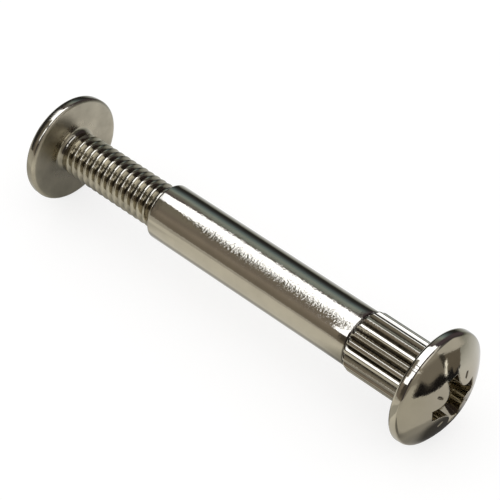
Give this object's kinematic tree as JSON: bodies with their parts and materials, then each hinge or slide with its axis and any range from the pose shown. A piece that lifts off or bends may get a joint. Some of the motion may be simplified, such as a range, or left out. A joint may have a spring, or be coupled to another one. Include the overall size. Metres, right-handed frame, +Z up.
{
  "type": "binding barrel screw",
  "caption": "Two-piece connecting fastener: a domed-head sleeve nut with a knurled collar, and a machine screw partly threaded into it.",
  "frame": {"origin": "centre of the bearing plane under the barrel's head, on the common axis", "axes": "+X along the common axis from the screw's head towards the barrel's head; +Z up, with the pair lying on the rims of both heads"},
  "size_m": [0.0438, 0.0098, 0.0098],
  "materials": {
    "barrel_plating": "polished nickel plating",
    "screw_plating": "nickel plating, rolled thread"
  },
  "bodies": {
    "barrel": {"barrel_nut": "barrel_plating"},
    "screw": {"machine_screw": "screw_plating"}
  },
  "joints": [
    {"name": "screw_travel", "type": "slide", "parent": "barrel", "child": "screw", "axis": [1, 0, 0], "range_m": [-0.05, 0.0104]}
  ]
}
